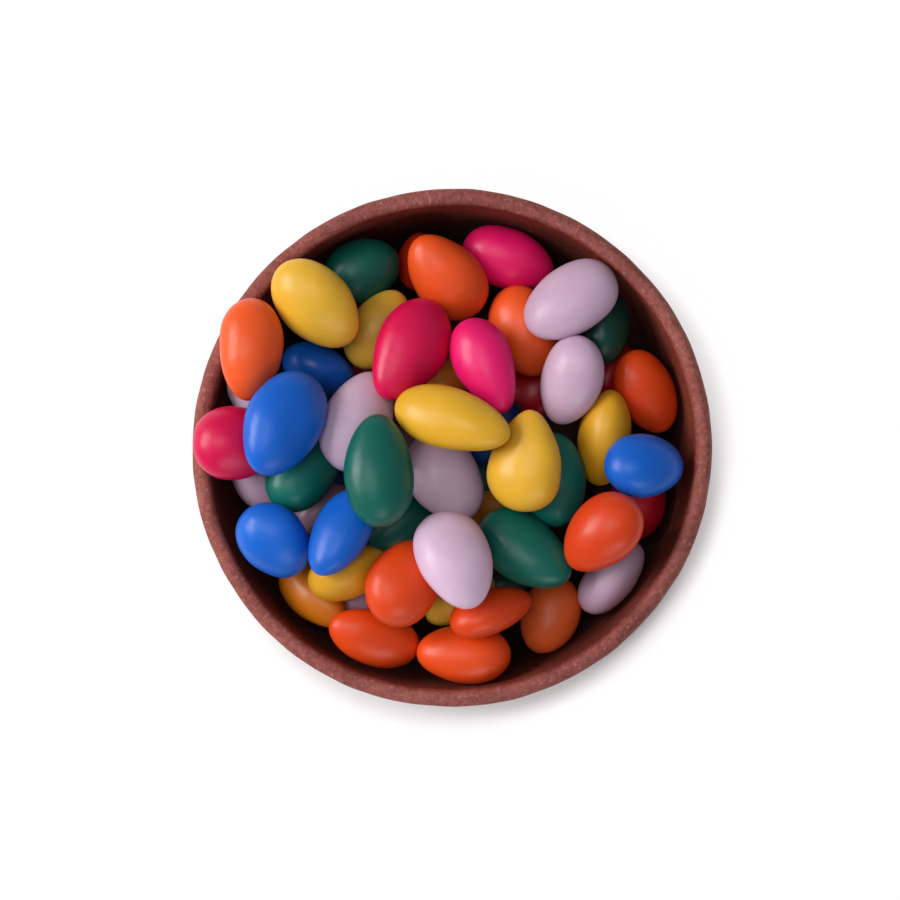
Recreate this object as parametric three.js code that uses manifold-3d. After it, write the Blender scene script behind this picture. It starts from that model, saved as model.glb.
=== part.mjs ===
// A thick clay bowl heaped with sugar-coated almonds, in millimetres with +Z up.
// The origin is the middle of the bowl's foot, on the surface that it stands on.
// The almonds lie as they are seen from straight above, with +X to the right and +Y up.
import * as THREE from "three";
import { mergeVertices } from "three/addons/utils/BufferGeometryUtils.js";
import Module from "manifold-3d";

// The bowl: a round wall that widens from a flat foot to a rounded lip.
const BOWL_RADIUS = 69;
const BOWL_HEIGHT = 60;
const LIP_RADIUS = 2.25;
const FLOOR_HEIGHT = 7;
const FOOT_RADIUS = 34;
const FOOT_BEVEL = 1;
const INSIDE_FULLNESS = 2.6;
const OUTSIDE_FULLNESS = 2.3;
const BOWL_SIDES = 50;
const WALL_STEPS = 9;
const LIP_STEPS = 6;

// The core: what the almonds lie on. It rises to the wall, and most of all to the left.
const WALL_GAP = 0.6;
const CORE_TOP = 24;
const CORE_RISE = 8.5;
const CORE_LEFT_RISE = 14;
const CORE_SIDES = 36;
const CORE_STEPS = 6;
const CORE_EDGE_IN = 1;

// An almond: an egg that is flatter than it is wide, with few sides.
const FLATNESS = 0.78;
const MOST_THICKNESS = 13.8;
const EDGE_HEIGHT = 1.25;
const TAPER = 0.1;
const EGG_SIDES = 10;
const EGG_RINGS = 7;
const EGG_SWELL = 1.045;

// How an almond comes to rest on those below it.
const SAMPLE_SIDES = 40;
const SAMPLE_RINGS = 28;
const CELL = 0.73;
const CELLS = 206;
const SINK = 1.2;
const LEAN_SHARE = 0.8;
const MOST_LEAN = 20;
const ROLL_STEP = 0.8;
const ROLL_WAYS = 6;
const ROLL_COST = 1;
const SLIDES = 4;
const NOTHING = -50;

// An almond that no other carries lies on one that doesn't show.
const PROP_SHARE = 0.85;
const PROP_DROP = 10;

const INSIDE_RADIUS = BOWL_RADIUS - 2 * LIP_RADIUS;
const LIP_LEVEL = BOWL_HEIGHT - LIP_RADIUS;
const LIP_CENTRE = BOWL_RADIUS - LIP_RADIUS;

// Every almond that shows, placed by hand, in the order in which they lie on each other:
// colour, x, y, length, width as seen, turn of the narrow end from +X, then what differs.
// Each layer lies at least its rise above the core.
const LAYERS = [
  {
    rise: 0,
    almonds: [
      ["orange", -9, 51.5, 16, 12, 90],
      ["pink", 23, 15.5, 21, 15, 20],
      ["pink", 43.5, 20, 19.5, 13.5, 70, { onEdge: true }],
      ["blue", 12.5, 5, 21, 14, 60, { onEdge: true }],
      ["yellow", -3, 20.5, 21, 14.5, 10, { onEdge: true }],
      ["white", -52, -9, 19, 13.5, -60, { onEdge: true }],
      ["white", -37.5, -16.5, 18.5, 12.5, 35, { onEdge: true }],
      ["white", -26, -42, 17.5, 12.5, 10, { onEdge: true }],
      ["pink", 13.5, -38, 18.5, 12.5, 20, { onEdge: true }],
      ["green", -14, -21, 24.5, 15, 35],
      ["yellow", 2, -41, 22, 12, 215, { onEdge: true }],
    ],
  },
  {
    rise: 4,
    almonds: [
      ["white", -56, 15.5, 19, 13.5, -62],
      ["green", 42, 33, 21, 12.5, 80, { onEdge: true }],
      ["yellow", -37.5, -40, 23.5, 13.5, -42],
      ["orange", -21, -51, 26.5, 15, 161],
      ["orange", 3, -57, 25.5, 16, 178],
      ["orange", 27.5, -47, 22, 16, 250],
      ["white", 45.5, -37.5, 23.5, 13, 48, { onEdge: true }],
      ["pink", 51, -16.5, 20, 16, 60],
      ["green", -25, 49.5, 21.5, 17.5, 25],
      ["blue", -36, 21.5, 21.5, 13, -25, { onEdge: true }],
      ["pink", 15.5, 52, 26, 16.5, -20],
    ],
  },
  {
    rise: 8,
    almonds: [
      ["orange", 20, 32.5, 25.5, 18.5, -70],
      ["orange", 52.5, 16, 24.5, 16, -63],
      ["yellow", 42, 3, 27, 14, 82, { onEdge: true }],
      ["yellow", -27.5, -33, 23, 13.5, 15, { onEdge: true }],
      ["green", 27.5, -8.5, 25.5, 17, 92],
      ["yellow", -20.5, 33, 23.5, 16, 57],
      ["green", -40, -6, 25, 17, 50],
      ["white", -2, -8, 26, 20, -55],
      ["white", -25.5, 8, 29.5, 18.5, 68],
      ["orange", 10.5, -43.5, 23.5, 11.5, 20, { onEdge: true }],
      ["green", 20, -26.5, 28.5, 18, -34],
      ["orange", 39.5, -22.5, 25, 18, 226, { taper: 0.15 }],
      ["blue", 51, -4.5, 22.5, 17.5, 3, { taper: 0.05 }],
      ["orange", -13.5, -35.5, 25, 19.5, 61],
      ["blue", -47, -24.5, 22, 18, -51],
      ["blue", -29, -22, 26.5, 15, 242],
      ["orange", -1.5, 46.5, 27, 18.5, 130, { taper: 0.15 }],
    ],
  },
  {
    rise: 13,
    almonds: [
      ["white", 31, 39.5, 27.5, 19, 213],
      ["white", 32, 18, 25, 17, 251],
      ["yellow", -36, 38, 28, 19, -47, { taper: 0.08, onLip: true, tip: -12 }],
      ["orange", -53, 26, 27, 17, -93, { taper: 0.15, onLip: true }],
      ["pink", -56.5, 1.5, 25, 19.5, 3, { taper: 0.12, onLip: true, tip: -25 }],
      ["blue", -44, 6.5, 30.5, 20.5, 243],
      ["green", -19, -6, 29.5, 18.5, 92, { taper: 0.12 }],
      ["pink", -11.5, 27, 30.5, 19.5, 241, { taper: 0.12 }],
      ["pink", 8, 22, 27.5, 15.5, -66, { taper: 0.2 }],
      ["white", 0.5, -30, 27.5, 20, -70, { taper: 0.15 }],
      ["yellow", 19, -4, 27, 19.5, 84, { taper: 0.3 }],
      ["yellow", -0.5, 7.5, 32.5, 16.5, -17, { taper: 0.15 }],
    ],
  },
];

const wasm = await Module();
wasm.setup();

const degrees = (angle) => (angle * Math.PI) / 180;
const clamp = (value, low, high) => Math.max(low, Math.min(high, value));
const INSIDE_PROFILE = insideProfile();

// Radius, as a share of the widest, at a share of the depth below it.
function fullness(depth, power) {
  return (1 - clamp(depth, 0, 1) ** power) ** (1 / power);
}

function coreHeight(x, y) {
  const out = Math.hypot(x, y) / INSIDE_RADIUS;
  const left = (1 - x / INSIDE_RADIUS) / 2;
  return CORE_TOP + CORE_RISE * out ** 2 + CORE_LEFT_RISE * left ** 4;
}

// The inner wall from the lip to the middle of the floor.
function insideProfile() {
  const profile = [];
  for (let i = 0; i <= WALL_STEPS; i++) {
    const depth = Math.sin((Math.PI / 2) * (i / WALL_STEPS));
    profile.push([
      INSIDE_RADIUS * fullness(depth, INSIDE_FULLNESS),
      LIP_LEVEL - (LIP_LEVEL - FLOOR_HEIGHT) * depth,
    ]);
  }
  return profile;
}

// The radius of the flat-sided inner wall at a height.
function insideRadius(z) {
  if (z >= LIP_LEVEL) return INSIDE_RADIUS;
  const next = INSIDE_PROFILE.findIndex(([, level]) => level <= z);
  if (next < 1) return 0;
  const [outer, upper] = INSIDE_PROFILE[next - 1];
  const [inner, lower] = INSIDE_PROFILE[next];
  return inner + ((outer - inner) * (z - lower)) / (upper - lower);
}

function bowlGeometry() {
  const profile = [
    [0, 0],
    [FOOT_RADIUS - FOOT_BEVEL, 0],
  ];
  // The outer wall is the same kind of curve, cut off by the foot where it has narrowed to it.
  const footShare = fullness(FOOT_RADIUS / BOWL_RADIUS, OUTSIDE_FULLNESS);
  const outsideDepth = (LIP_LEVEL - FOOT_BEVEL) / footShare;
  for (let i = 0; i < WALL_STEPS; i++) {
    const angle = (Math.asin(footShare) * (WALL_STEPS - i)) / WALL_STEPS;
    const depth = Math.sin(angle);
    profile.push([
      BOWL_RADIUS * fullness(depth, OUTSIDE_FULLNESS),
      LIP_LEVEL - outsideDepth * depth,
    ]);
  }
  for (let i = 0; i <= LIP_STEPS; i++) {
    const angle = (Math.PI * i) / LIP_STEPS;
    profile.push([
      LIP_CENTRE + LIP_RADIUS * Math.cos(angle),
      LIP_LEVEL + LIP_RADIUS * Math.sin(angle),
    ]);
  }
  profile.pop();
  return turned([...profile, ...INSIDE_PROFILE], BOWL_SIDES);
}

// The lowest part of the heap fills the bowl up to where the lowest almonds lie.
function coreGeometry() {
  const lowestEdge = CORE_TOP + CORE_RISE;
  const edge = insideRadius(lowestEdge) - WALL_GAP - CORE_EDGE_IN;
  const profile = INSIDE_PROFILE.toReversed()
    .map(([radius, z]) => [Math.max(0, radius - WALL_GAP), z + WALL_GAP])
    .filter(([radius]) => radius < edge);
  for (let i = CORE_STEPS; i >= 0; i--)
    profile.push([(edge * i) / CORE_STEPS, lowestEdge]);
  const geometry = turned(profile, CORE_SIDES);
  const position = geometry.getAttribute("position");
  for (let i = 0; i < position.count; i++)
    if (position.getZ(i) === Math.fround(lowestEdge))
      position.setZ(i, coreHeight(position.getX(i), position.getY(i)));
  return geometry;
}

// A profile of [radius, height] points turned about Z, from the bottom of the axis to its top.
function turned(profile, sides) {
  const points = profile.map(([radius, z]) => new THREE.Vector2(radius, z));
  return new THREE.LatheGeometry(points, sides).rotateX(Math.PI / 2);
}

// An egg along X with its narrow end at +X. It is swelled a little, because its flat sides
// lie inside the true round ones.
function eggGeometry(almond) {
  const profile = [];
  for (let ring = 0; ring <= EGG_RINGS; ring++) {
    const angle = Math.PI * (1 - ring / EGG_RINGS);
    const along = Math.cos(angle);
    const radius = Math.sin(angle) * (1 - almond.taper * along);
    profile.push(new THREE.Vector2(ring % EGG_RINGS ? radius : 0, along));
  }
  const [length, width, thickness] = [
    almond.length,
    almond.width,
    almond.thickness,
  ].map((side) => (EGG_SWELL * side) / 2);
  return new THREE.LatheGeometry(profile, EGG_SIDES)
    .rotateZ(-Math.PI / 2)
    .scale(length, width, thickness);
}

function almondFrom([colour, x, y, length, width, turn, more = {}], rise) {
  const thickness = more.onEdge
    ? EDGE_HEIGHT * width
    : Math.min(FLATNESS * width, MOST_THICKNESS);
  const size = { length, width, thickness, taper: TAPER };
  return { colour, x, y, turn, rise, ...size, ...more };
}

// Points all over an almond, closer together than the cells of the field are wide.
function samplePoints(almond) {
  const points = [];
  for (let ring = 0; ring <= SAMPLE_RINGS; ring++) {
    const angle = (Math.PI * ring) / SAMPLE_RINGS;
    const along = Math.cos(angle);
    const radius = Math.sin(angle) * (1 - almond.taper * along);
    for (let side = 0; side < SAMPLE_SIDES; side++) {
      const around = (2 * Math.PI * side) / SAMPLE_SIDES;
      points.push(
        new THREE.Vector3(
          (almond.length / 2) * along,
          (almond.width / 2) * radius * Math.cos(around),
          (almond.thickness / 2) * radius * Math.sin(around),
        ),
      );
    }
  }
  return points;
}

function cellAt(x, y) {
  const column = clamp(Math.floor(x / CELL + CELLS / 2), 0, CELLS - 1);
  const row = clamp(Math.floor(y / CELL + CELLS / 2), 0, CELLS - 1);
  return column * CELLS + row;
}

// A height for each cell of the field, from a function of x and y.
function heightField(heightAt) {
  const field = new Float64Array(CELLS * CELLS);
  for (let column = 0; column < CELLS; column++)
    for (let row = 0; row < CELLS; row++) {
      const x = (column + 0.5 - CELLS / 2) * CELL;
      const y = (row + 0.5 - CELLS / 2) * CELL;
      field[column * CELLS + row] = heightAt(x, y);
    }
  return field;
}

function coreField(x, y) {
  return Math.hypot(x, y) < INSIDE_RADIUS ? coreHeight(x, y) : NOTHING;
}

function lipField(x, y) {
  const across = Math.hypot(x, y) - LIP_CENTRE;
  if (Math.abs(across) > LIP_RADIUS) return NOTHING;
  return LIP_LEVEL + Math.sqrt(LIP_RADIUS ** 2 - across ** 2) + WALL_GAP + SINK;
}

// The slopes, along and across an almond at x, y, of what lies under it, as angles.
function slopesUnder(field, almond, x, y) {
  const cos = Math.cos(degrees(almond.turn));
  const sin = Math.sin(degrees(almond.turn));
  const spots = [];
  for (let u = -4; u <= 4; u++)
    for (let v = -3; v <= 3; v++) {
      if ((u / 4.5) ** 2 + (v / 3.5) ** 2 > 1) continue;
      const a = 0.1 * u * almond.length;
      const b = (0.9 / 7) * v * almond.width;
      const h = field[cellAt(x + a * cos - b * sin, y + a * sin + b * cos)];
      if (h > NOTHING) spots.push({ a, b, h });
    }
  if (spots.length < 6) return [0, 0];
  const mean = (key) =>
    spots.reduce((sum, spot) => sum + spot[key], 0) / spots.length;
  const middle = { a: mean("a"), b: mean("b"), h: mean("h") };
  return ["a", "b"].map((key) => {
    let rise = 0;
    let run = 0;
    for (const spot of spots) {
      rise += (spot[key] - middle[key]) * (spot.h - middle.h);
      run += (spot[key] - middle[key]) ** 2;
    }
    const angle = (Math.atan(rise / run) * 180) / Math.PI;
    return clamp(LEAN_SHARE * angle, -MOST_LEAN, MOST_LEAN);
  });
}

// Lays an almond at x, y on the field, leaning as the ground under it does.
function laid(field, almond, samples, x, y) {
  const [lean, roll] = slopesUnder(field, almond, x, y);
  const pitch = almond.tip ?? lean;
  const layer = almond.onLip
    ? 0
    : coreHeight(x, y) + almond.rise + almond.thickness / 2;
  const place = posed(almond, samples, x, y, pitch, roll);
  let height = -Infinity;
  for (const { x, y, z } of place.points)
    if (z < 0) height = Math.max(height, field[cellAt(x, y)] - z);
  height -= SINK;
  return raised(place, Math.max(height, layer), height < layer);
}

function posed(almond, samples, x, y, pitch, roll) {
  const euler = [degrees(roll), degrees(-pitch), degrees(almond.turn), "ZYX"];
  const pose = new THREE.Matrix4()
    .makeRotationFromEuler(new THREE.Euler(...euler))
    .setPosition(x, y, 0);
  return { pose, points: samples.map((p) => p.clone().applyMatrix4(pose)) };
}

function raised({ pose, points }, height, propped) {
  const [x, y] = [pose.elements[12], pose.elements[13]];
  pose.setPosition(x, y, height);
  for (const point of points) point.z += height;
  return { pose, points, x, y, height, propped };
}

// The point that reaches furthest through the wall, and how far.
function throughWall(points) {
  let worst = { reach: 0 };
  for (const point of points) {
    if (point.z > BOWL_HEIGHT + LIP_RADIUS) continue;
    const limit = insideRadius(point.z) - WALL_GAP;
    const reach = Math.hypot(point.x, point.y) - limit;
    if (reach > worst.reach) worst = { reach, point };
  }
  return worst;
}

// Lays an almond with lay(x, y), and slides it in until it is clear of the wall.
function clearOfWall(lay, x, y) {
  let place = lay(x, y);
  for (let slide = 1; slide < SLIDES; slide++) {
    const { reach, point } = throughWall(place.points);
    if (!point) break;
    const angle = Math.atan2(point.y, point.x);
    place = lay(place.x - reach * Math.cos(angle), place.y - reach * Math.sin(angle));
  }
  return place;
}

// An almond rolls to the lowest place close to its own.
function settled(field, almond) {
  const samples = samplePoints(almond);
  const lay = (x, y) => laid(field, almond, samples, x, y);
  if (almond.onLip) return lay(almond.x, almond.y);
  let best = clearOfWall(lay, almond.x, almond.y);
  const cost = (place) =>
    place.height +
    ROLL_COST * Math.hypot(place.x - almond.x, place.y - almond.y);
  for (let way = 0; way < ROLL_WAYS; way++) {
    const angle = (2 * Math.PI * way) / ROLL_WAYS;
    const place = clearOfWall(
      lay,
      almond.x + ROLL_STEP * Math.cos(angle),
      almond.y + ROLL_STEP * Math.sin(angle),
    );
    if (cost(place) < cost(best)) best = place;
  }
  return best;
}

// The hidden almond under one that only the lip, or nothing, carries.
function propUnder(almond, place) {
  const prop = { ...almond };
  for (const side of ["length", "width", "thickness"]) prop[side] *= PROP_SHARE;
  const samples = samplePoints(prop);
  const lay = (x, y) =>
    raised(posed(prop, samples, x, y, 0, 0), place.height - PROP_DROP);
  return { almond: prop, ...clearOfWall(lay, place.x, place.y) };
}

// Every almond with its place, each one laid on those before it.
function layAlmonds(almonds) {
  const ground = heightField(coreField);
  const lip = heightField(lipField);
  const pieces = [];
  for (const almond of almonds) {
    const field = almond.onLip
      ? ground.map((height, cell) => Math.max(height, lip[cell]))
      : ground;
    const place = settled(field, almond);
    if (place.propped || almond.onLip) pieces.push(propUnder(almond, place));
    pieces.push({ almond, ...place });
    for (const { x, y, z } of place.points)
      ground[cellAt(x, y)] = Math.max(ground[cellAt(x, y)], z);
  }
  return pieces;
}

function solidFrom(geometry) {
  const bare = geometry.clone();
  bare.deleteAttribute("normal");
  bare.deleteAttribute("uv");
  const merged = mergeVertices(bare, 1e-4);
  return new wasm.Manifold(
    new wasm.Mesh({
      numProp: 3,
      vertProperties: merged.getAttribute("position").array,
      triVerts: new Uint32Array(merged.index.array),
    }),
  );
}

function geometryFrom(solid) {
  const mesh = solid.getMesh();
  return new THREE.BufferGeometry()
    .setAttribute("position", new THREE.BufferAttribute(mesh.vertProperties, 3))
    .setIndex(new THREE.BufferAttribute(mesh.triVerts, 1));
}

// The largest body of a solid. Sealed hollows are filled and loose scraps dropped by it.
function largestBody(solid) {
  return solid
    .decompose()
    .reduce((most, body) => (body.volume() > most.volume() ? body : most));
}

function heapGeometry() {
  const almonds = LAYERS.flatMap(({ rise, almonds }) =>
    almonds.map((row) => almondFrom(row, rise)),
  );
  let heap = solidFrom(coreGeometry());
  for (const { almond, pose } of layAlmonds(almonds))
    heap = heap.add(solidFrom(eggGeometry(almond).applyMatrix4(pose)));
  return geometryFrom(largestBody(heap));
}

function part(name, geometry, color, roughness) {
  const material = new THREE.MeshStandardMaterial({
    color,
    roughness,
    metalness: 0,
  });
  const mesh = new THREE.Mesh(geometry, material);
  mesh.name = name;
  return mesh;
}

const bowlOfAlmonds = new THREE.Group();
bowlOfAlmonds.add(part("bowl", bowlGeometry(), "#9a5650", 0.75));
bowlOfAlmonds.add(part("almond_heap", heapGeometry(), "#d8662e", 0.35));

export default bowlOfAlmonds;
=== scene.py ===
import math

import bpy
import numpy as np
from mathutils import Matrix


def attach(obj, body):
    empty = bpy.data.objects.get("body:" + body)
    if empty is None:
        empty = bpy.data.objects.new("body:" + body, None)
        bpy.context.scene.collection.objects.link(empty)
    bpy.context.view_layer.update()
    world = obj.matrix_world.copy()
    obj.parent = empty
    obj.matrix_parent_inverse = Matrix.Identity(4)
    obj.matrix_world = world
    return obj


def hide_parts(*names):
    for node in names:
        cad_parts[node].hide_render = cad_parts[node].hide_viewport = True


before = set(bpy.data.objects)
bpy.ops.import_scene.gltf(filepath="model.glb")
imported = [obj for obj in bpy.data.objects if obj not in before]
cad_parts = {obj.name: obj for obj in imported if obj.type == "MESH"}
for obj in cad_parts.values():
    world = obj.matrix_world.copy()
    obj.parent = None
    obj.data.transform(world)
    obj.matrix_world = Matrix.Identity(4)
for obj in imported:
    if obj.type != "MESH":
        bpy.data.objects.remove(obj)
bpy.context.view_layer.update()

MM = 0.001

# The bowl: a round wall that widens from a flat foot to a rounded lip.
BOWL_RADIUS = 69.0
BOWL_HEIGHT = 60.0
LIP_RADIUS = 2.25
FLOOR_HEIGHT = 7.0
FOOT_RADIUS = 34.0
FOOT_BEVEL = 1.0
INSIDE_FULLNESS = 2.6
OUTSIDE_FULLNESS = 2.3
WALL_STEPS = 9
INSIDE_RADIUS = BOWL_RADIUS - 2 * LIP_RADIUS
LIP_LEVEL = BOWL_HEIGHT - LIP_RADIUS
LIP_CENTRE = BOWL_RADIUS - LIP_RADIUS

# The core: what the almonds lie on. It rises to the wall, and most of all to the left.
WALL_GAP = 0.6
CORE_TOP = 24.0
CORE_RISE = 8.5
CORE_LEFT_RISE = 14.0

# An almond: an egg that is flatter than it is wide.
FLATNESS = 0.78
MOST_THICKNESS = 13.8
EDGE_HEIGHT = 1.25
TAPER = 0.1

# How an almond comes to rest on those below it.
SAMPLE_SIDES = 40
SAMPLE_RINGS = 28
CELL = 0.73
CELLS = 206
SINK = 1.2
LEAN_SHARE = 0.8
MOST_LEAN = 20.0
ROLL_STEP = 0.8
ROLL_WAYS = 6
ROLL_COST = 1.0
SLIDES = 4
NOTHING = -50.0

# The spots under an almond where its ground is felt, each way from its middle.
SPOTS_ALONG = 4
SPOTS_ACROSS = 3
SPOT_ROOM = 0.5
SPOT_SHARE = 0.9
FEWEST_SPOTS = 6

# Every almond that shows, in the order in which they lie on each other: colour, x, y,
# length, width as seen, turn of the narrow end from +X, then what differs.
# Each layer lies at least its rise above the core.
ON_EDGE = {"on_edge": True}
# Most tones given in the rows stand in for light: the low ones are painted shade on almonds
# in gaps and in the shadow of others, the high ones painted light on almonds the lamps leave
# too dark. A few only set the sugar's own hue.
LAYERS = [
    (0, [
        ("orange", -9, 51.5, 16, 12, 90, {"tone": 0}),
        ("pink", 23, 15.5, 21, 15, 20, {"tone": 0}),
        ("pink", 43.5, 20, 19.5, 13.5, 70, {"on_edge": True, "tone": 0}),
        ("blue", 12.5, 5, 21, 14, 60, {"on_edge": True, "tone": 0}),
        ("yellow", -3, 20.5, 21, 14.5, 10, {"on_edge": True, "tone": 0}),
        ("white", -52, -9, 19, 13.5, -60, {"on_edge": True, "tone": 0.2}),
        ("white", -37.5, -16.5, 18.5, 12.5, 35, {"on_edge": True, "tone": 0}),
        ("white", -26, -42, 17.5, 12.5, 10, ON_EDGE),
        ("green", 13.5, -38, 18.5, 12.5, 20, {"on_edge": True, "tone": 0}),
        ("green", -14, -21, 24.5, 15, 35),
        ("yellow", 2, -41, 22, 12, 215, {"on_edge": True, "tone": 0.9}),
    ]),
    (4, [
        ("white", -56, 15.5, 19, 13.5, -62, {"tone": 0.8}),
        ("green", 42, 33, 21, 12.5, 80, {"on_edge": True, "tone": 0}),
        ("yellow", -37.5, -40, 23.5, 13.5, -42, {"tone": 0}),
        ("orange", -21, -51, 26.5, 15, 161),
        ("orange", 3, -57, 25.5, 16, 178),
        ("orange", 27.5, -47, 22, 16, 250, {"tone": 1}),
        ("white", 45.5, -37.5, 23.5, 13, 48, ON_EDGE),
        ("pink", 51, -16.5, 20, 16, 60, {"tone": 0}),
        ("green", -25, 49.5, 21.5, 17.5, 25),
        ("blue", -36, 21.5, 21.5, 13, -25, ON_EDGE),
        ("pink", 15.5, 52, 26, 16.5, -20),
    ]),
    (8, [
        ("orange", 20, 32.5, 25.5, 18.5, -70),
        ("orange", 52.5, 16, 24.5, 16, -63),
        ("yellow", 42, 3, 27, 14, 82, ON_EDGE),
        ("yellow", -27.5, -33, 23, 13.5, 15, ON_EDGE),
        ("green", 27.5, -8.5, 25.5, 17, 92),
        ("yellow", -20.5, 33, 23.5, 16, 57, {"tone": 0.8}),
        ("green", -40, -6, 25, 17, 50),
        ("white", -2, -8, 26, 20, -55, {"tone": 1}),
        ("white", -25.5, 8, 29.5, 18.5, 68),
        ("orange", 10.5, -43.5, 23.5, 11.5, 20, ON_EDGE),
        ("green", 20, -26.5, 28.5, 18, -34),
        ("orange", 39.5, -22.5, 25, 18, 226, {"taper": 0.15, "tone": 0.3}),
        ("blue", 51, -4.5, 22.5, 17.5, 3, {"taper": 0.05}),
        ("orange", -13.5, -35.5, 25, 19.5, 61),
        ("blue", -47, -24.5, 22, 18, -51),
        ("blue", -29, -22, 26.5, 15, 242),
        ("orange", -1.5, 46.5, 27, 18.5, 130, {"taper": 0.15}),
    ]),
    (13, [
        ("white", 31, 39.5, 27.5, 19, 213),
        ("white", 32, 18, 25, 17, 251),
        ("yellow", -36, 38, 28, 19, -47,
         {"taper": 0.08, "on_lip": True, "tip": -12, "tone": 0.65}),
        ("orange", -53, 26, 27, 17, -93, {"taper": 0.15, "on_lip": True}),
        ("pink", -56.5, 1.5, 25, 19.5, 3, {"taper": 0.12, "on_lip": True, "tip": -25}),
        ("blue", -44, 6.5, 30.5, 20.5, 243),
        ("green", -19, -6, 29.5, 18.5, 92, {"taper": 0.12}),
        ("pink", -11.5, 27, 30.5, 19.5, 241, {"taper": 0.12, "tone": 0.4}),
        ("pink", 8, 22, 27.5, 15.5, -66, {"taper": 0.2, "tone": 0.75}),
        ("white", 0.5, -30, 27.5, 20, -70, {"taper": 0.15}),
        ("yellow", 19, -4, 27, 19.5, 84, {"taper": 0.3}),
        ("yellow", -0.5, 7.5, 32.5, 16.5, -17, {"taper": 0.15}),
    ]),
]

# The hidden almonds under them, in rings of a radius and a count about the middle, and the
# ranges that each is drawn from. They lie below the top of the solids' core, and so does
# the core that shows between them.
UNDER_SEED = 11
UNDER_RINGS = ((0.0, 1), (18.5, 6), (37.0, 12), (53.0, 16))
UNDER_COLOURS = ("orange", "yellow", "pink", "blue", "green", "white")
UNDER_SHIFTS = (-0.2, 0.2)
UNDER_LENGTHS = (22, 26)
UNDER_WIDTHS = (14.5, 17)
UNDER_LEANS = (-25, 25)
# Painted shade: the hidden almonds are given deep tones, for the shade they lie in.
UNDER_SHADE_TONES = (0, 0.3)
UNDER_DROP = 5.0
CORE_DROP = 10.0

# How deep (0) or pale (1) the sugar of an almond is, where nothing else is said.
TONES = (0.34, 0.72)

# The slow waves in an almond's surface: their length and height, and how many of each.
LUMP_SEED = 5
LUMP_WAVES = ((20.0, 0.10), (10.0, 0.035))
LUMPS_EACH = 4

# How finely the almonds, the bowl and the core are made.
ALMOND_GRID = 14
SAME_POINT_DIGITS = 6
BOWL_SIDES = 224
CURVE_STEPS = 120
OUTSIDE_POINTS = 44
INSIDE_POINTS = 50
LIP_STEPS = 20
FOOT_RINGS = (0, 12, 24, 32.6)
CORE_SIDES = 48
CORE_RINGS = 6
CORE_GAP = 2 * WALL_GAP

# The unevenness of the bowl: waves of a height, a count round it and a start. The fine
# marks of turning begin at a radius a little outside the foot.
WOBBLES = ((0.16, 2, 0.7), (0.10, 3, 2.1), (0.06, 7, 4.0), (0.05, 13, 1.0),
           (0.04, 29, 2.5), (0.03, 47, 0.3))
LIP_WAVES = ((0.10, 2, 1.9), (0.05, 5, 0.0))
LIP_DROP = 0.15
TURNED_FROM = FOOT_RADIUS + 1
TURNED_HEIGHT = 0.07
TURNED_RATE = 2.3
TURNED_SWAY = 0.5
LEAST_RADIUS = 20

# Painted shade: the inner wall, and the lip from this radius in, get a darker clay colour
# for the shade inside the bowl.
SHADE_FROM = 65.6
SHADE_OVER = 1.6


# ---------------------------------------------------------------- shapes of the solids

def fullness(depth, power):
    """Radius, as a share of the widest, at a share of the depth below it."""
    return (1 - min(max(depth, 0.0), 1.0) ** power) ** (1 / power)


def inside_profile():
    """The inner wall from the lip to the middle of the floor."""
    profile = []
    for i in range(WALL_STEPS + 1):
        depth = math.sin(math.pi / 2 * i / WALL_STEPS)
        profile.append((
            INSIDE_RADIUS * fullness(depth, INSIDE_FULLNESS),
            LIP_LEVEL - (LIP_LEVEL - FLOOR_HEIGHT) * depth,
        ))
    return np.array(profile)


INSIDE_PROFILE = inside_profile()


def inside_radius(z):
    """The radius of the solid bowl's inner wall at a height."""
    level = INSIDE_PROFILE[::-1, 1]
    radius = INSIDE_PROFILE[::-1, 0]
    return np.interp(z, level, radius, left=0.0, right=INSIDE_RADIUS)


def core_height(x, y):
    out = np.hypot(x, y) / INSIDE_RADIUS
    left = (1 - x / INSIDE_RADIUS) / 2
    return CORE_TOP + CORE_RISE * out ** 2 + CORE_LEFT_RISE * left ** 4


def almond_from(row, rise):
    colour, x, y, length, width, turn = row[:6]
    more = row[6] if len(row) > 6 else {}
    thickness = EDGE_HEIGHT * width if more.get("on_edge") else min(
        FLATNESS * width, MOST_THICKNESS)
    return {
        "colour": colour, "x": x, "y": y, "turn": turn, "rise": rise,
        "size": (length, width, thickness), "taper": more.get("taper", TAPER),
        "on_lip": more.get("on_lip", False), "tip": more.get("tip"),
        "tone": more.get("tone"),
    }


def egg(sphere, almond):
    """Points of a unit sphere moved to an egg along X with its narrow end at +X."""
    narrowing = 1 - almond["taper"] * sphere[:, 0]
    half = np.array(almond["size"]) / 2
    return sphere * half * np.stack([np.ones_like(narrowing), narrowing, narrowing], 1)


def sample_sphere():
    angle = np.pi * np.arange(SAMPLE_RINGS + 1) / SAMPLE_RINGS
    around = 2 * np.pi * np.arange(SAMPLE_SIDES) / SAMPLE_SIDES
    angle, around = (grid.ravel() for grid in np.meshgrid(angle, around, indexing="ij"))
    return np.stack(
        [np.cos(angle), np.sin(angle) * np.cos(around), np.sin(angle) * np.sin(around)], 1)


def cell_of(x, y):
    column = np.clip(np.floor(x / CELL + CELLS / 2), 0, CELLS - 1).astype(int)
    row = np.clip(np.floor(y / CELL + CELLS / 2), 0, CELLS - 1).astype(int)
    return column, row


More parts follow.
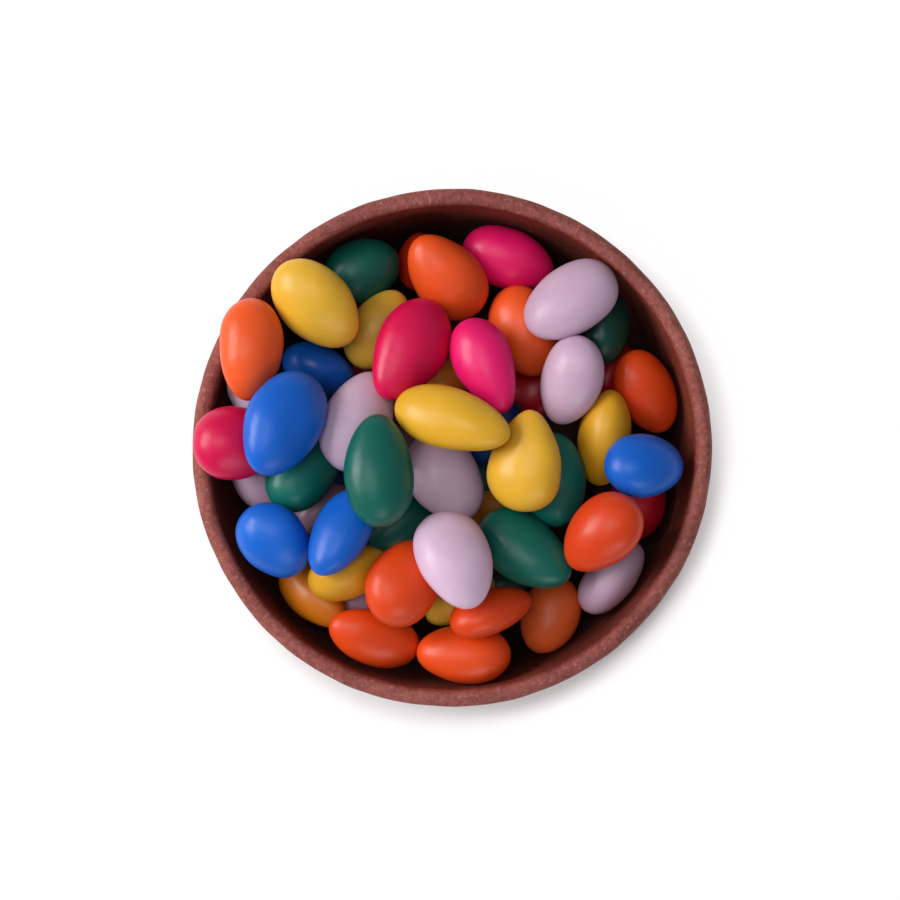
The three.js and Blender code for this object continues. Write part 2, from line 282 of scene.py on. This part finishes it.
def height_fields():
    """The heights of the core and of the lip in each cell."""
    middle = (np.arange(CELLS) + 0.5 - CELLS / 2) * CELL
    x, y = np.meshgrid(middle, middle, indexing="ij")
    radius = np.hypot(x, y)
    core = np.where(radius < INSIDE_RADIUS, core_height(x, y), NOTHING)
    across = radius - LIP_CENTRE
    rise = np.sqrt(np.maximum(LIP_RADIUS ** 2 - across ** 2, 0.0))
    lip = np.where(
        np.abs(across) > LIP_RADIUS, NOTHING, LIP_LEVEL + rise + WALL_GAP + SINK)
    return core, lip


# ------------------------------------------------------------- how the almonds are laid

def slopes_under(field, almond, x, y):
    """The slopes, along and across an almond, of what lies under it, as angles."""
    cos = math.cos(math.radians(almond["turn"]))
    sin = math.sin(math.radians(almond["turn"]))
    u, v = (grid.ravel() for grid in np.meshgrid(
        np.arange(-SPOTS_ALONG, SPOTS_ALONG + 1) / (SPOTS_ALONG + SPOT_ROOM),
        np.arange(-SPOTS_ACROSS, SPOTS_ACROSS + 1) / (SPOTS_ACROSS + SPOT_ROOM),
        indexing="ij"))
    near = u ** 2 + v ** 2 <= 1
    a = SPOT_SHARE * u[near] * almond["size"][0] / 2
    b = SPOT_SHARE * v[near] * almond["size"][1] / 2
    h = field[cell_of(x + a * cos - b * sin, y + a * sin + b * cos)]
    there = h > NOTHING
    if there.sum() < FEWEST_SPOTS:
        return 0.0, 0.0
    a, b, h = a[there], b[there], h[there]
    slopes = []
    for across in (a, b):
        away = across - across.mean()
        angle = math.degrees(math.atan((away * (h - h.mean())).sum() / (away ** 2).sum()))
        slopes.append(min(max(LEAN_SHARE * angle, -MOST_LEAN), MOST_LEAN))
    return tuple(slopes)


def rotation(turn, pitch, roll):
    """Roll about the almond's length, then pitch, then turn about Z, in degrees."""
    (ct, st), (cp, sp), (cr, sr) = (
        (math.cos(math.radians(angle)), math.sin(math.radians(angle)))
        for angle in (turn, -pitch, roll))
    about_x = np.array([[1, 0, 0], [0, cr, -sr], [0, sr, cr]])
    about_y = np.array([[cp, 0, sp], [0, 1, 0], [-sp, 0, cp]])
    about_z = np.array([[ct, -st, 0], [st, ct, 0], [0, 0, 1]])
    return about_z @ about_y @ about_x


def laid(field, almond, points, x, y):
    """The almond lying on the field at x, y, leaning as the ground under it does."""
    lean, roll = slopes_under(field, almond, x, y)
    pitch = lean if almond["tip"] is None else almond["tip"]
    turned = rotation(almond["turn"], pitch, roll)
    placed = points @ turned.T + np.array([x, y, 0.0])
    below = placed[placed[:, 2] < 0]
    height = (field[cell_of(below[:, 0], below[:, 1])] - below[:, 2]).max() - SINK
    if not almond["on_lip"]:
        height = max(height, core_height(x, y) + almond["rise"] + almond["size"][2] / 2)
    return {"at": np.array([x, y, height]), "turned": turned,
            "points": placed + np.array([0, 0, height])}


def through_wall(points):
    """How far the almond reaches through the wall, and the point that does so most."""
    low = points[points[:, 2] <= BOWL_HEIGHT + LIP_RADIUS]
    if not len(low):
        return 0.0, None
    reach = np.hypot(low[:, 0], low[:, 1]) - (inside_radius(low[:, 2]) - WALL_GAP)
    worst = int(reach.argmax())
    return (float(reach[worst]), low[worst]) if reach[worst] > 0 else (0.0, None)


def clear_of_wall(lay, x, y):
    """Slides an almond in until it is clear of the wall."""
    place = lay(x, y)
    for _ in range(SLIDES - 1):
        reach, point = through_wall(place["points"])
        if point is None:
            break
        angle = math.atan2(point[1], point[0])
        place = lay(place["at"][0] - reach * math.cos(angle),
                    place["at"][1] - reach * math.sin(angle))
    return place


def settled(field, almond, points):
    """An almond rolls to the lowest place close to its own."""
    def lay(x, y):
        return laid(field, almond, points, x, y)

    def cost(place):
        moved = math.hypot(place["at"][0] - almond["x"], place["at"][1] - almond["y"])
        return place["at"][2] + ROLL_COST * moved

    if almond["on_lip"]:
        return lay(almond["x"], almond["y"])
    best = clear_of_wall(lay, almond["x"], almond["y"])
    for way in range(ROLL_WAYS):
        angle = 2 * math.pi * way / ROLL_WAYS
        place = clear_of_wall(lay, almond["x"] + ROLL_STEP * math.cos(angle),
                              almond["y"] + ROLL_STEP * math.sin(angle))
        if cost(place) < cost(best):
            best = place
    return best


def lay_almonds():
    """Every almond that shows with its place, each one laid on those before it."""
    ground, lip = height_fields()
    sphere = sample_sphere()
    pieces = []
    for rise, rows in LAYERS:
        for row in rows:
            almond = almond_from(row, rise)
            field = np.maximum(ground, lip) if almond["on_lip"] else ground
            place = settled(field, almond, egg(sphere, almond))
            pieces.append((almond, place))
            x, y, z = place["points"].T
            np.maximum.at(ground, cell_of(x, y), z)
    return pieces


def hidden_almonds():
    """Almonds just under the core's top, seen only through the gaps."""
    draw = np.random.default_rng(UNDER_SEED)
    sphere = sample_sphere()
    pieces = []
    for radius, count in UNDER_RINGS:
        for i in range(count):
            angle = 2 * math.pi * (i + draw.uniform(*UNDER_SHIFTS)) / count
            length = draw.uniform(*UNDER_LENGTHS)
            width = draw.uniform(*UNDER_WIDTHS)
            almond = {
                "colour": UNDER_COLOURS[draw.integers(len(UNDER_COLOURS))],
                "x": radius * math.cos(angle), "y": radius * math.sin(angle),
                "turn": draw.uniform(0, 360), "taper": TAPER,
                "size": (length, width, FLATNESS * width),
                "tone": draw.uniform(*UNDER_SHADE_TONES),
            }
            points = egg(sphere, almond)
            lean, roll = draw.uniform(*UNDER_LEANS, 2)

            def lay(x, y):
                turned = rotation(almond["turn"], lean, roll)
                placed = points @ turned.T
                top = core_height(x, y) - UNDER_DROP
                at = np.array([x, y, top - placed[:, 2].max()])
                return {"at": at, "turned": turned, "points": placed + at}

            place = clear_of_wall(lay, almond["x"], almond["y"])
            pieces.append((almond, place))
    return pieces


# ----------------------------------------------------------------------------- meshes

def mesh_object(name, points, faces, attributes=()):
    mesh = bpy.data.meshes.new(name)
    mesh.from_pydata(points.tolist(), [], faces)
    for label, values in attributes:
        mesh.attributes.new(label, "FLOAT", "POINT").data.foreach_set("value", values)
    mesh.shade_smooth()
    mesh.update()
    piece = bpy.data.objects.new(name, mesh)
    bpy.context.scene.collection.objects.link(piece)
    return piece


def cube_sphere(steps):
    """A unit sphere of even four-sided faces, from the six sides of a cube."""
    share = np.tan(np.linspace(-1, 1, steps + 1) * math.pi / 4)
    index = {}
    points = []
    faces = []
    for axis in range(3):
        for sign in (-1, 1):
            grid = {}
            for i in range(steps + 1):
                for j in range(steps + 1):
                    place = np.zeros(3)
                    place[axis] = sign
                    place[(axis + 1) % 3] = share[i]
                    place[(axis + 2) % 3] = share[j]
                    key = tuple(np.round(place, SAME_POINT_DIGITS) + 0.0)
                    if key not in index:
                        index[key] = len(points)
                        points.append(place / np.linalg.norm(place))
                    grid[i, j] = index[key]
            for i in range(steps):
                for j in range(steps):
                    face = [grid[i, j], grid[i + 1, j], grid[i + 1, j + 1], grid[i, j + 1]]
                    faces.append(face if sign > 0 else face[::-1])
    return np.array(points), faces


def lumpy(points, sphere, draw):
    """Raises and lowers a surface by a few slow waves, so that no almond is quite even."""
    lift = np.zeros(len(points))
    for length, height in LUMP_WAVES:
        for _ in range(LUMPS_EACH):
            way = draw.normal(size=3)
            way *= 2 * math.pi / (length * np.linalg.norm(way))
            lift += height * np.sin(points @ way + draw.uniform(0, 2 * math.pi))
    return points + sphere * lift[:, None]


def almond_pieces(pieces):
    """One mesh for each colour of almond."""
    sphere, faces = cube_sphere(ALMOND_GRID)
    faces = np.array(faces)
    draw = np.random.default_rng(LUMP_SEED)
    parts = {}
    for almond, place in pieces:
        local = lumpy(egg(sphere, almond), sphere, draw)
        world = local @ place["turned"].T + place["at"]
        tone = draw.uniform(*TONES)
        # A tone given in a row mostly stands in for light: painted shade when low, painted
        # light when high.
        if almond["tone"] is not None:
            tone = almond["tone"]
        parts.setdefault(almond["colour"], []).append((world, tone))
    made = {}
    for colour, eggs in parts.items():
        points = np.concatenate([world for world, _ in eggs]) * MM
        tones = np.concatenate([np.full(len(sphere), tone) for _, tone in eggs])
        joined = np.concatenate([faces + i * len(sphere) for i in range(len(eggs))])
        made[colour] = mesh_object(
            "almonds_" + colour, points, joined.tolist(), [("tone", tones)])
    return made


def lathe(name, profile, sides, warp=None, attributes=()):
    """A profile of (radius, height) turned about Z; both its ends lie on the axis.
    Each attribute has a label and a value for each point of the profile."""
    profile = np.array(profile)
    repeats = [1] + [sides] * (len(profile) - 2) + [1]
    attributes = [(label, np.repeat(values, repeats)) for label, values in attributes]
    angle = 2 * math.pi * np.arange(sides) / sides
    ring = np.stack([np.cos(angle), np.sin(angle)], 1)
    points = [np.array([[0.0, 0.0, profile[0, 1]]])]
    for radius, z in profile[1:-1]:
        points.append(np.concatenate([ring * radius, np.full((sides, 1), z)], 1))
    points.append(np.array([[0.0, 0.0, profile[-1, 1]]]))
    points = np.concatenate(points)
    if warp:
        points = warp(points)
    last = len(points) - 1
    faces = []
    rings = len(profile) - 2
    for i in range(sides):
        j = (i + 1) % sides
        faces.append([0, 1 + j, 1 + i])
        for r in range(rings - 1):
            a, b = 1 + r * sides, 1 + (r + 1) * sides
            faces.append([a + i, a + j, b + j, b + i])
        top = 1 + (rings - 1) * sides
        faces.append([top + i, top + j, last])
    return mesh_object(name, points * MM, faces, attributes)


def along(points, count):
    """The same path with evenly spaced points."""
    points = np.array(points)
    run = np.concatenate([[0], np.cumsum(np.linalg.norm(np.diff(points, axis=0), axis=1))])
    at = np.linspace(0, run[-1], count)
    return np.stack([np.interp(at, run, points[:, 0]), np.interp(at, run, points[:, 1])], 1)


def bowl_profile():
    """The whole outline of the bowl, and how much of the inside's painted shade each of its
    points takes.
    """
    foot_share = fullness(FOOT_RADIUS / BOWL_RADIUS, OUTSIDE_FULLNESS)
    outside_depth = (LIP_LEVEL - FOOT_BEVEL) / foot_share
    foot = [(radius, 0) for radius in FOOT_RINGS]
    outside = []
    for i in range(CURVE_STEPS):
        depth = math.sin(math.asin(foot_share) * (1 - i / CURVE_STEPS))
        outside.append((BOWL_RADIUS * fullness(depth, OUTSIDE_FULLNESS),
                        LIP_LEVEL - outside_depth * depth))
    inside = []
    for i in range(CURVE_STEPS + 1):
        depth = math.sin(math.pi / 2 * i / CURVE_STEPS)
        inside.append((INSIDE_RADIUS * fullness(depth, INSIDE_FULLNESS),
                       LIP_LEVEL - (LIP_LEVEL - FLOOR_HEIGHT) * depth))
    lip = [(LIP_CENTRE + LIP_RADIUS * math.cos(math.pi * i / LIP_STEPS),
            LIP_LEVEL + LIP_RADIUS * math.sin(math.pi * i / LIP_STEPS))
           for i in range(1, LIP_STEPS)]
    outside = along(outside, OUTSIDE_POINTS).tolist()
    inside = along(inside, INSIDE_POINTS).tolist()
    shade = [min(max((SHADE_FROM - radius) / SHADE_OVER, 0.0), 1.0) for radius, _ in lip]
    painted_inside_shade = [0.0] * (len(foot) + len(outside)) + shade + [1.0] * len(inside)
    return foot + outside + lip + inside, painted_inside_shade


def waves(angle, table):
    return sum(height * np.sin(count * angle + start) for height, count, start in table)


def hand_made(points):
    """The small unevenness of a bowl turned by hand."""
    angle = np.arctan2(points[:, 1], points[:, 0])
    radius = np.hypot(points[:, 0], points[:, 1])
    high = np.clip(points[:, 2] / BOWL_HEIGHT, 0, 1)
    turning = points[:, 2] * TURNED_RATE + TURNED_SWAY * np.sin(angle)
    rings = TURNED_HEIGHT * np.sin(turning) * (radius > TURNED_FROM)
    scale = 1 + (waves(angle, WOBBLES) * high + rings) / np.maximum(radius, LEAST_RADIUS)
    top = np.clip((points[:, 2] - LIP_LEVEL) / LIP_RADIUS, 0, 1)
    out = points.copy()
    out[:, :2] *= scale[:, None]
    out[:, 2] += (waves(angle, LIP_WAVES) - LIP_DROP) * top
    return out


# ------------------------------------------------------------------------- materials

def srgb(red, green, blue):
    """The linear colour of a screen colour with channels of 0 to 255."""
    def linear(value):
        value /= 255
        return value / 12.92 if value <= 0.04045 else ((value + 0.055) / 1.055) ** 2.4
    return (linear(red), linear(green), linear(blue), 1.0)


# Most of a noise lies between these.
NOISE_LOW = 0.3
NOISE_HIGH = 0.7

# The sockets of a mix node that mixes colours.
MIX_FACTOR, MIX_FIRST, MIX_SECOND, MIX_RESULT = 0, 6, 7, 2


class Nodes:
    """Short ways to add and link shader nodes."""

    def __init__(self, name):
        self.material = bpy.data.materials.new(name)
        self.material.use_nodes = True
        self.tree = self.material.node_tree
        self.shader = self.tree.nodes["Principled BSDF"]

    def add(self, kind):
        return self.tree.nodes.new(kind)

    def link(self, out, into):
        self.tree.links.new(out, into)

    def attribute(self, name):
        node = self.add("ShaderNodeAttribute")
        node.attribute_name = name
        return node.outputs["Fac"]

    def noise(self, scale, detail, roughness, distortion=0.0):
        node = self.add("ShaderNodeTexNoise")
        node.inputs["Scale"].default_value = scale
        node.inputs["Detail"].default_value = detail
        node.inputs["Roughness"].default_value = roughness
        node.inputs["Distortion"].default_value = distortion
        self.link(self.place(), node.inputs["Vector"])
        return node.outputs["Fac"]

    def place(self):
        if not hasattr(self, "texture"):
            self.texture = self.add("ShaderNodeTexCoord")
        return self.texture.outputs["Object"]

    def ramp(self, value, *stops):
        node = self.add("ShaderNodeValToRGB")
        elements = node.color_ramp.elements
        while len(elements) < len(stops):
            elements.new(0.5)
        for element, (position, colour) in zip(elements, stops):
            element.position = position
            element.color = colour if len(colour) == 4 else (*colour, 1.0)
        self.link(value, node.inputs["Fac"])
        return node.outputs["Color"]

    def remap(self, value, new_low, new_high, low=NOISE_LOW, high=NOISE_HIGH):
        node = self.add("ShaderNodeMapRange")
        for key, number in (("From Min", low), ("From Max", high),
                            ("To Min", new_low), ("To Max", new_high)):
            node.inputs[key].default_value = number
        self.link(value, node.inputs["Value"])
        return node.outputs["Result"]

    def mix(self, factor, first, second, blend="MIX"):
        node = self.add("ShaderNodeMix")
        node.data_type = "RGBA"
        node.blend_type = blend
        for slot, value in ((MIX_FACTOR, factor), (MIX_FIRST, first), (MIX_SECOND, second)):
            if isinstance(value, (int, float, tuple)):
                node.inputs[slot].default_value = value
            else:
                self.link(value, node.inputs[slot])
        return node.outputs[MIX_RESULT]

    def times(self, first, second):
        node = self.add("ShaderNodeMath")
        node.operation = "MULTIPLY"
        for slot, value in enumerate((first, second)):
            if isinstance(value, (int, float)):
                node.inputs[slot].default_value = value
            else:
                self.link(value, node.inputs[slot])
        return node.outputs[0]

    def bump(self, height, distance, strength, normal=None):
        node = self.add("ShaderNodeBump")
        node.inputs["Distance"].default_value = distance
        node.inputs["Strength"].default_value = strength
        self.link(height, node.inputs["Height"])
        if normal is not None:
            self.link(normal, node.inputs["Normal"])
        return node.outputs["Normal"]


# Each colour of sugar, from its deepest to its palest. The deepest ends are painted shade
# for almonds in gaps and shadow, and the palest ends are partly painted light.
SUGAR = {
    "yellow": (srgb(190, 104, 14), srgb(225, 167, 34), srgb(240, 196, 74)),
    "orange": (srgb(198, 42, 12), srgb(231, 74, 19), srgb(246, 106, 48)),
    "pink": (srgb(182, 4, 32), srgb(224, 11, 84), srgb(242, 30, 126)),
    "blue": (srgb(5, 58, 116), srgb(9, 92, 196), srgb(24, 110, 218)),
    "green": (srgb(3, 58, 48), srgb(6, 96, 83), srgb(12, 116, 102)),
    "white": (srgb(150, 118, 138), srgb(214, 181, 206), srgb(228, 200, 222)),
}

# The noises are a scale, a detail and a roughness, and one has a distortion as well. The
# bumps are a depth in metres and a strength, and the steps of a ramp a place and a colour.
SUGAR_CLOUD_NOISE = (95.0, 3.0, 0.55)
SUGAR_CLOUDS = ((NOISE_LOW, (0.90, 0.90, 0.90)), (NOISE_HIGH, (1.07, 1.07, 1.07)))
SUGAR_CLOUD_SHARE = 0.7
SUGAR_POLISH_NOISE = (240.0, 3.0, 0.6)
SUGAR_ROUGHNESS = (0.34, 0.46)
SUGAR_DENT_NOISE = (150.0, 2.0, 0.5)
SUGAR_DENTS = (0.0006, 0.35)
SUGAR_GRAIN_NOISE = (1400.0, 2.0, 0.5)
SUGAR_GRAIN = (0.00004, 0.35)
SUGAR_IOR = 1.48
SUGAR_SPECULAR = 0.38
SUGAR_COAT = 0.08
SUGAR_COAT_ROUGHNESS = 0.2

CLAY_CLOUD_NOISE = (60.0, 4.0, 0.6)
CLAY_CLOUDS = ((0.25, srgb(128, 62, 54)), (0.5, srgb(146, 78, 70)), (0.8, srgb(160, 92, 82)))
CLAY_BLOTCH_NOISE = (620.0, 4.0, 0.72, 0.6)
CLAY_BLOTCHES = ((0.32, (0.62, 0.58, 0.58)), (0.68, (1.36, 1.36, 1.34)))
CLAY_BLOTCH_SHARE = 0.9
CLAY_BLOTCH_BUMP = (0.0005, 0.6)
CLAY_GRAIN_NOISE = (1300.0, 3.0, 0.7)
CLAY_GRAINS = ((NOISE_LOW, (0.74, 0.72, 0.72)), (NOISE_HIGH, (1.20, 1.18, 1.17)))
CLAY_GRAIN_SHARE = 0.5
CLAY_GRAIN_BUMP = (0.00018, 0.7)
CLAY_SPECK_NOISE = (950.0, 2.0, 0.5)
CLAY_SPECKS = ((0.60, (0, 0, 0)), (0.74, (1, 1, 1)))
CLAY_SPECK_SHARE = 0.4
CLAY_SPECK_COLOUR = srgb(204, 146, 136)
CLAY_ROUGHNESS = (0.55, 0.85)
CLAY_SPECULAR = 0.35

# Painted shade: the darkening of the inner wall, the further darkening low in the bowl, and
# the heights in metres between which the second one fades out.
CLAY_INSIDE_SHADE = srgb(212, 172, 142)
CLAY_DEEP_SHADE = srgb(92, 100, 98)
DEEP_SHADE_BELOW = 0.034
DEEP_SHADE_ABOVE = 0.051

# Painted shade: the core is dark brown, for the deep shade seen between the almonds.
CORE_NOISE = (120.0, 3.0, 0.6)
CORE_PAINTED_SHADES = ((NOISE_LOW, srgb(40, 18, 16)), (NOISE_HIGH, srgb(64, 30, 26)))
CORE_ROUGHNESS = 0.8


def sugar_material(colour):
    """A smooth hard sugar shell, faintly cloudy, with a soft polish; its tone carries
    painted shade and light.
    """
    deepest_painted_shade, usual, palest = SUGAR[colour]
    nodes = Nodes("sugar_" + colour)
    tone = nodes.attribute("tone")
    shade = nodes.ramp(tone, (0.0, deepest_painted_shade), (0.5, usual), (1.0, palest))
    cloudy = nodes.ramp(nodes.noise(*SUGAR_CLOUD_NOISE), *SUGAR_CLOUDS)
    shade = nodes.mix(SUGAR_CLOUD_SHARE, shade, cloudy, "MULTIPLY")
    nodes.link(shade, nodes.shader.inputs["Base Color"])
    rough = nodes.remap(nodes.noise(*SUGAR_POLISH_NOISE), *SUGAR_ROUGHNESS)
    nodes.link(rough, nodes.shader.inputs["Roughness"])
    dents = nodes.bump(nodes.noise(*SUGAR_DENT_NOISE), *SUGAR_DENTS)
    grain = nodes.bump(nodes.noise(*SUGAR_GRAIN_NOISE), *SUGAR_GRAIN, dents)
    nodes.link(grain, nodes.shader.inputs["Normal"])
    nodes.shader.inputs["IOR"].default_value = SUGAR_IOR
    nodes.shader.inputs["Specular IOR Level"].default_value = SUGAR_SPECULAR
    nodes.shader.inputs["Coat Weight"].default_value = SUGAR_COAT
    nodes.shader.inputs["Coat Roughness"].default_value = SUGAR_COAT_ROUGHNESS
    return nodes.material


def clay_material():
    """Fired clay: red-brown, grainy, with pale specks, and with painted shade inside the
    bowl.
    """
    nodes = Nodes("clay")
    split = nodes.add("ShaderNodeSeparateXYZ")
    nodes.link(nodes.place(), split.inputs["Vector"])
    inside_shade_share = nodes.attribute("painted_inside_shade")
    blotches = nodes.noise(*CLAY_BLOTCH_NOISE)
    grain = nodes.noise(*CLAY_GRAIN_NOISE)
    body = nodes.ramp(nodes.noise(*CLAY_CLOUD_NOISE), *CLAY_CLOUDS)
    blotched = nodes.ramp(blotches, *CLAY_BLOTCHES)
    body = nodes.mix(CLAY_BLOTCH_SHARE, body, blotched, "MULTIPLY")
    grainy = nodes.ramp(grain, *CLAY_GRAINS)
    body = nodes.mix(CLAY_GRAIN_SHARE, body, grainy, "MULTIPLY")
    specks = nodes.ramp(nodes.noise(*CLAY_SPECK_NOISE), *CLAY_SPECKS)
    body = nodes.mix(nodes.times(specks, CLAY_SPECK_SHARE), body, CLAY_SPECK_COLOUR)
    # Painted shade: the inside of the bowl and the lip's inner edge are darkened, and the
    # wall low in the bowl darker still, for the shade that falls there.
    body = nodes.mix(inside_shade_share, body, nodes.mix(1.0, body, CLAY_INSIDE_SHADE, "MULTIPLY"))
    deep_shade = nodes.remap(split.outputs["Z"], 1.0, 0.0, DEEP_SHADE_BELOW, DEEP_SHADE_ABOVE)
    body = nodes.mix(nodes.times(deep_shade, inside_shade_share), body,
                     nodes.mix(1.0, body, CLAY_DEEP_SHADE, "MULTIPLY"))
    nodes.link(body, nodes.shader.inputs["Base Color"])
    rough = nodes.remap(grain, *CLAY_ROUGHNESS)
    nodes.link(rough, nodes.shader.inputs["Roughness"])
    nodes.shader.inputs["Specular IOR Level"].default_value = CLAY_SPECULAR
    coarse = nodes.bump(blotches, *CLAY_BLOTCH_BUMP)
    nodes.link(nodes.bump(grain, *CLAY_GRAIN_BUMP, coarse), nodes.shader.inputs["Normal"])
    return nodes.material


def core_material():
    """Painted shade: the dark ground between the hidden almonds, for the deep shade inside
    the heap.
    """
    nodes = Nodes("heap_shade")
    shade = nodes.ramp(nodes.noise(*CORE_NOISE), *CORE_PAINTED_SHADES)
    nodes.link(shade, nodes.shader.inputs["Base Color"])
    nodes.shader.inputs["Roughness"].default_value = CORE_ROUGHNESS
    return nodes.material


# ------------------------------------------------------------------ camera and studio

# The camera looks straight down from this far above the lip, and the picture is this wide
# there. It stands a little off the bowl's middle.
CAMERA_ABOVE_LIP = 560.0
VIEW_WIDTH = 238.7
SENSOR_MM = 36.0
CAMERA_SHIFT = -0.53
CLIP_START = 0.01

WORLD_COLOUR = (0.93, 0.96, 1.0, 1.0)
WORLD_LIGHT = 0.2

# Each softbox: name, direction and elevation in degrees, size, power and colour.
SOFTBOXES = (
    ("window", 166, 37, (0.6, 0.5), 9.2, (1.0, 0.98, 0.96)),
    ("soft_top", 146, 80, (0.5, 0.5), 2.3, (0.97, 0.98, 1.0)),
    ("soft_low", 288, 32, (0.6, 0.4), 2.0, (0.97, 0.98, 1.0)),
)
SOFTBOX_DISTANCE = 1.03
LAMP_LIFT = 0.05

# The suns light the floor alone, so that it is pale with a short soft shadow.
FLOOR_SUNS = (("floor_left", 178), ("floor_far", 135), ("floor_top", 96))
FLOOR_SUN = 0.92
SUN_ELEVATION = 78.4
SUN_WIDTH = 6
SUN_DISTANCE = 1.0

FLOOR_HALF = 2.5
FLOOR_COLOUR = (0.93, 0.93, 0.93, 1.0)
FLOOR_ROUGHNESS = 0.9
FLOOR_GLOW_COLOUR = (1.0, 1.0, 1.0, 1.0)
FLOOR_GLOW = 0.05


def add_camera():
    data = bpy.data.cameras.new("camera")
    data.sensor_width = SENSOR_MM
    data.lens = SENSOR_MM * CAMERA_ABOVE_LIP / VIEW_WIDTH
    data.clip_start = CLIP_START
    camera = bpy.data.objects.new("camera", data)
    camera.location = (CAMERA_SHIFT * MM, CAMERA_SHIFT * MM,
                       (CAMERA_ABOVE_LIP + BOWL_HEIGHT) * MM)
    bpy.context.scene.collection.objects.link(camera)
    bpy.context.scene.camera = camera


def add_lamp(data, from_angle, elevation, distance, lit, floor):
    """A lamp that shines on the part, or on the floor alone, from a side and a height."""
    lamp = bpy.data.objects.new(data.name, data)
    turn, lift = math.radians(from_angle), math.radians(elevation)
    lamp.location = (distance * math.cos(lift) * math.cos(turn),
                     distance * math.cos(lift) * math.sin(turn),
                     distance * math.sin(lift) + LAMP_LIFT)
    lamp.rotation_euler = (math.pi / 2 - lift, 0.0, turn + math.pi / 2)
    bpy.context.scene.collection.objects.link(lamp)
    receivers = bpy.data.collections.new(data.name + "_lights")
    receivers.objects.link(floor)
    receivers.collection_objects[0].light_linking.link_state = lit
    lamp.light_linking.receiver_collection = receivers


def add_softbox(name, from_angle, elevation, size, power, colour, floor):
    data = bpy.data.lights.new(name, "AREA")
    data.shape = "RECTANGLE"
    data.size, data.size_y = size
    data.energy = power
    data.color = colour
    add_lamp(data, from_angle, elevation, SOFTBOX_DISTANCE, "EXCLUDE", floor)


def add_studio():
    scene = bpy.context.scene
    scene.view_settings.view_transform = "Standard"
    scene.view_settings.look = "None"
    world = bpy.data.worlds.new("studio")
    world.use_nodes = True
    background = world.node_tree.nodes["Background"]
    background.inputs["Color"].default_value = WORLD_COLOUR
    background.inputs["Strength"].default_value = WORLD_LIGHT
    scene.world = world
    half = FLOOR_HALF
    mesh = bpy.data.meshes.new("floor")
    mesh.from_pydata([(-half, -half, 0), (half, -half, 0), (half, half, 0),
                      (-half, half, 0)], [], [(0, 1, 2, 3)])
    floor = bpy.data.objects.new("floor", mesh)
    scene.collection.objects.link(floor)
    nodes = Nodes("paper_white")
    nodes.shader.inputs["Base Color"].default_value = FLOOR_COLOUR
    nodes.shader.inputs["Roughness"].default_value = FLOOR_ROUGHNESS
    nodes.shader.inputs["Specular IOR Level"].default_value = 0.0
    nodes.shader.inputs["Emission Color"].default_value = FLOOR_GLOW_COLOUR
    nodes.shader.inputs["Emission Strength"].default_value = FLOOR_GLOW
    mesh.materials.append(nodes.material)
    for softbox in SOFTBOXES:
        add_softbox(*softbox, floor)
    for name, from_angle in FLOOR_SUNS:
        sun = bpy.data.lights.new(name, "SUN")
        sun.energy = FLOOR_SUN
        sun.angle = math.radians(SUN_WIDTH)
        add_lamp(sun, from_angle, SUN_ELEVATION, SUN_DISTANCE, "INCLUDE", floor)


# --------------------------------------------------------------------------- the part

def core_profile():
    top = CORE_TOP - CORE_DROP
    edge = float(inside_radius(top)) - CORE_GAP
    profile = [(max(radius - CORE_GAP, 0.0), z + CORE_GAP)
               for radius, z in INSIDE_PROFILE[::-1] if radius - CORE_GAP < edge]
    return profile + [(edge * i / CORE_RINGS, top) for i in range(CORE_RINGS, -1, -1)]


def raise_core(points):
    """Gives the core's flat top the slope of the solids' core."""
    out = points.copy()
    top = np.isclose(points[:, 2], CORE_TOP - CORE_DROP)
    x, y = points[top, 0], points[top, 1]
    out[top, 2] = np.minimum(core_height(x, y) - CORE_DROP, LIP_LEVEL)
    return out


def add_part():
    profile, painted_inside_shade = bowl_profile()
    bowl = lathe("clay_bowl", profile, BOWL_SIDES, hand_made, [("painted_inside_shade", painted_inside_shade)])
    bowl.data.materials.append(clay_material())
    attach(bowl, "root")
    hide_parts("bowl")

    core = lathe("heap_core", core_profile(), CORE_SIDES, raise_core)
    core.data.materials.append(core_material())
    pieces = almond_pieces(lay_almonds() + hidden_almonds())
    for colour, piece in pieces.items():
        piece.data.materials.append(sugar_material(colour))
    for piece in (core, *pieces.values()):
        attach(piece, "root")
        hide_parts("almond_heap")


add_camera()
add_studio()
add_part()
